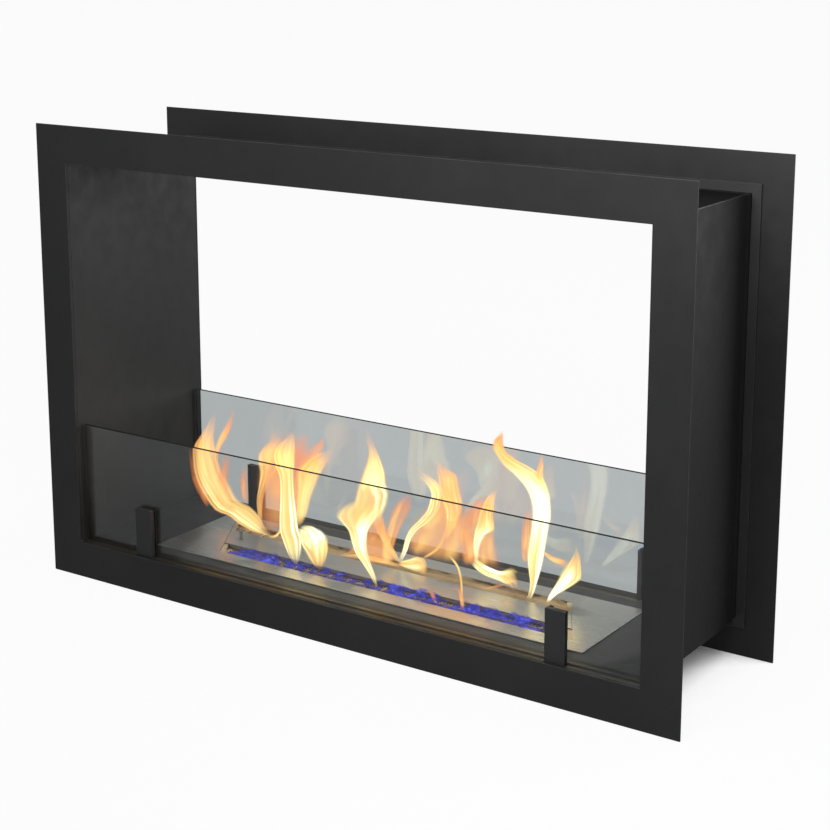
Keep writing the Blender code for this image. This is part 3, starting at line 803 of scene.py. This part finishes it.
def make_flame(name, slot_side, heat, cover, edges, start):
    """A lens-shaped tongue between the two edges, standing over the middle of its slot."""
    middle = slot_middle[slot_side]
    flat = veil_flatness if name.endswith(("veil", "haze")) else flame_flatness
    rings, uvs = [], []
    for i in range(flame_rings + 1):
        t = i / flame_rings
        x0, z0, x1, z1 = curve_point(edges, t)
        y = middle + flame_wander * math.sin(wander_turn * t + start)
        centre = Vector(((x0 + x1) / 2, y, (z0 + z1) / 2))
        wide = Vector(((x1 - x0) / 2, 0.0, (z1 - z0) / 2))
        deep = Vector((0.0, wide.length * flat, 0.0))
        turns = [2 * math.pi * k / flame_sides for k in range(flame_sides)]
        rings.append([centre + wide * math.cos(a) + deep * math.sin(a) for a in turns])
        uvs.append([(0.5 + 0.5 * math.cos(a), t) for a in turns])
    piece = closed_tube("flame_" + name, rings, uvs, fire, (heat, cover, start))
    piece.visible_glossy = name not in unmirrored


def make_low_fire(name, slot_side, height, material):
    """A low glowing ridge along a slot, its crest uneven; the one in the rear slot is painted light of the
    fire on its fibre.
    """
    dice = random.Random(crest_seed)
    crest_count = low_fire_stations // crest_stations + 4
    crest = [dice.uniform(crest_lowest, crest_highest) for _ in range(crest_count)]
    rings, uvs = [], []
    for i in range(low_fire_stations + 1):
        t = i / low_fire_stations
        x = low_fire_start + (low_fire_end - low_fire_start) * t
        at = i / crest_stations
        k = int(at)
        tall = crest[k] + (crest[k + 1] - crest[k]) * (at - k)
        close = min(1.0, end_slope * t, end_slope * (1 - t)) + end_height
        tall *= height * close
        ring, marks = [], []
        for j in range(low_fire_sides):
            turn = 2 * math.pi * j / low_fire_sides
            up = 0.5 + 0.5 * math.sin(turn)
            y = math.cos(turn) * low_fire_half_depth * (1 - top_narrowing * up) * min(1.0, close + end_depth)
            ring.append(Vector((x, slot_middle[slot_side] + y, low_fire_low + tall * up)))
            marks.append((t, up))
        rings.append(ring)
        uvs.append(marks)
    closed_tube(name, rings, uvs, material)


fire = flame_material("fire")
for number, (name, slot_side, heat, cover, edges) in enumerate(flame_edges):
    make_flame(name, slot_side, heat, cover, edges, pattern_step * number + pattern_start)
make_low_fire("flame_blue", "front", blue_height, blue_material("fire_blue"))
# The golden ridge in the rear slot glows as painted light of the fire on its fibre
make_low_fire("painted_fire_light_veil", "rear", fire_light_height, fire_light_veil_material("painted_fire_light"))


# ---------------------------------------------------------------- floor, air, light, camera
def make_floor():
    """The studio's floor, which isn't part of the object."""
    mesh = bpy.data.meshes.new("studio_floor")
    r = floor_reach
    mesh.from_pydata([(-r, -r, -floor_drop), (r, -r, -floor_drop), (r, r, -floor_drop), (-r, r, -floor_drop)],
                     [], [(0, 1, 2, 3)])
    mesh.materials.append(floor_material())
    floor = bpy.data.objects.new("studio_floor", mesh)
    bpy.context.scene.collection.objects.link(floor)


def make_air():
    """White round the object for the camera, a grey ground for metal and glass, soft light for the rest."""
    world = bpy.data.worlds.new("studio_air")
    bpy.context.scene.world = world
    world.use_nodes = True
    tree = world.node_tree
    tree.nodes.clear()
    output = tree.nodes.new("ShaderNodeOutputWorld")
    path = tree.nodes.new("ShaderNodeLightPath")
    soft = tree.nodes.new("ShaderNodeBackground")
    soft.inputs["Color"].default_value = (*air_colour, 1.0)
    soft.inputs["Strength"].default_value = air_light
    shown = soft.outputs["Background"]
    for way, colour in (("Is Glossy Ray", air_in_metal), ("Is Transmission Ray", ground_in_glass),
                        ("Is Camera Ray", ground_to_camera)):
        glow = tree.nodes.new("ShaderNodeBackground")
        glow.inputs["Color"].default_value = (*colour, 1.0)
        mixed = tree.nodes.new("ShaderNodeMixShader")
        tree.links.new(path.outputs[way], mixed.inputs["Fac"])
        tree.links.new(shown, mixed.inputs[1])
        tree.links.new(glow.outputs["Background"], mixed.inputs[2])
        shown = mixed.outputs["Shader"]
    tree.links.new(shown, output.inputs["Surface"])


def hang_lamp(name, light, place, aim):
    """Hangs a light at a place, turned to what it points at and unseen by the camera."""
    lamp = bpy.data.objects.new(name, light)
    bpy.context.scene.collection.objects.link(lamp)
    lamp.location = place
    lamp.visible_camera = False
    lamp.rotation_euler = (Vector(aim) - Vector(place)).to_track_quat("-Z", "Y").to_euler()
    return lamp


def make_lamp(name, place, aim, size, power):
    """A soft studio lamp."""
    light = bpy.data.lights.new(name, "AREA")
    light.shape = "RECTANGLE"
    light.size, light.size_y = size
    light.energy = power
    hang_lamp(name, light, place, aim)


def make_glow():
    """The fire's own light on the tray and the floor round it, a pool with a soft rim.

    It lights only the pieces in the fire chamber.
    """
    light = bpy.data.lights.new("glow", "SPOT")
    light.spot_size = 2 * math.atan(glow_half_width / glow_drop)
    light.spot_blend = glow_rim
    light.shadow_soft_size = glow_size
    light.energy = glow_power
    light.color = glow_colour
    lamp = hang_lamp("glow", light, glow_place, (glow_place[0], glow_place[1], 0.0))
    lamp.visible_glossy = False
    inside = bpy.data.collections.new("lit_by_glow")
    for part in inside_parts:
        inside.objects.link(nodes[part])
    lamp.light_linking.receiver_collection = inside


def make_camera():
    """The photograph's camera, held level, with the picture's crop as a small shift."""
    data = bpy.data.cameras.new("camera")
    data.sensor_width = sensor_width
    data.lens = focal_pixels * sensor_width / picture_side
    data.shift_y = -principal_drop / picture_side
    data.clip_end = sight_end
    camera = bpy.data.objects.new("camera", data)
    bpy.context.scene.collection.objects.link(camera)
    camera.location = camera_place
    camera.rotation_euler = (math.radians(90.0 - camera_down), 0.0, math.radians(camera_turn))
    bpy.context.scene.camera = camera


make_floor()
make_air()
for lamp_row in lamps:
    make_lamp(*lamp_row)
make_glow()
make_camera()
bpy.context.scene.view_settings.view_transform = "Standard"
